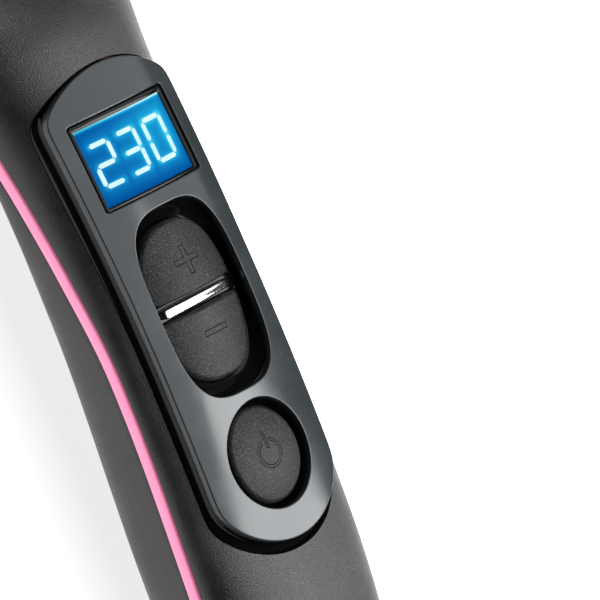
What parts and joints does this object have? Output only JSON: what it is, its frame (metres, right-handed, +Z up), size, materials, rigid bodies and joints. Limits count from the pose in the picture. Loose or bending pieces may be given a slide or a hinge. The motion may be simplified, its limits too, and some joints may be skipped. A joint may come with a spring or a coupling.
{
  "type": "heated hair straightening brush",
  "caption": "Heated hair straightening brush with a finned ceramic plate, ball-tipped teeth, side comb tines, a lit display and control buttons in the handle, and a cord swivel.",
  "frame": {"origin": "on the surface it lies on, under the centre of the overall box", "axes": "+Y from the handle to the head, +Z up on the bristle and control side, +X to the right seen from above with the head away"},
  "size_m": [0.0694, 0.275, 0.0356],
  "materials": {
    "soft_touch_black": "fine soft-touch grain",
    "trim_pink": "satin coloured plastic",
    "comb_black": "fine spark texture",
    "plate_pink": "gloss ceramic coating",
    "tip_black": "fine grain",
    "gloss_black": "polished",
    "gunmetal": "polished dark metallic",
    "silver": "satin",
    "display_lens": "polished clear lens with a black printed frame",
    "display_cell": "liquid crystal cell",
    "backlight_blue": "lit diffuser",
    "button_black": "fine grain",
    "switch_steel": "stamped",
    "board_green": "solder resist",
    "chip_black": "moulded",
    "zinc_steel": "zinc plated",
    "capacitor_sleeve": "sleeved can",
    "varistor_orange": "dipped",
    "heater_aluminium": "extruded",
    "mica": "pressed sheet",
    "contact_brass": "plain",
    "fuse_ceramic": "ceramic",
    "lead_insulation": "silicone sleeve",
    "swivel_black": "fine grain"
  },
  "bodies": {
    "casing": {"upper_casing": "soft_touch_black", "lower_casing": "soft_touch_black", "trim_band": "trim_pink", "comb_frame": "comb_black", "heating_plate": "plate_pink", "ball_tips": "tip_black", "panel_base": "gloss_black", "fascia": "gunmetal", "divider_bar": "silver", "display_window": "display_lens", "display_glass": "display_cell", "backlight": "backlight_blue", "display_holder": "gloss_black", "tact_switches": "switch_steel", "control_board": "board_green", "board_chips": "chip_black", "board_screws": "zinc_steel", "power_board": "board_green", "smoothing_capacitor": "capacitor_sleeve", "triac": "chip_black", "varistor": "varistor_orange", "heater_strips": "heater_aluminium", "insulation_sheet": "mica", "clamp_plate": "zinc_steel", "clamp_screws": "zinc_steel", "thermistor": "contact_brass", "thermal_fuse": "fuse_ceramic", "heat_shield": "mica", "heater_leads": "lead_insulation", "supply_leads": "lead_insulation", "board_leads": "lead_insulation", "casing_screws": "zinc_steel", "tail_bush": "gloss_black", "contact_block": "mica", "contact_springs": "contact_brass"},
    "plus_key": {"plus_button": "button_black"},
    "minus_key": {"minus_button": "button_black"},
    "power_key": {"power_button": "button_black"},
    "swivel": {"cord_swivel": "swivel_black", "slip_rings": "contact_brass"}
  },
  "joints": [
    {"name": "plus_press", "type": "slide", "parent": "casing", "child": "plus_key", "axis": [0, 0, -1], "range_m": [0, 0.0005], "stiffness_N_per_m": 1200, "springref_m": -0.0004},
    {"name": "minus_press", "type": "slide", "parent": "casing", "child": "minus_key", "axis": [0, 0, -1], "range_m": [0, 0.0005], "stiffness_N_per_m": 1200, "springref_m": -0.0004},
    {"name": "power_press", "type": "slide", "parent": "casing", "child": "power_key", "axis": [0, 0, -1], "range_m": [0, 0.0005], "stiffness_N_per_m": 1200, "springref_m": -0.0004},
    {"name": "cord_swivel_turn", "type": "hinge", "parent": "casing", "child": "swivel", "pos_m": [0, -0.1295, 0.0155], "axis": [0, 1, 0], "continuous": true}
  ]
}
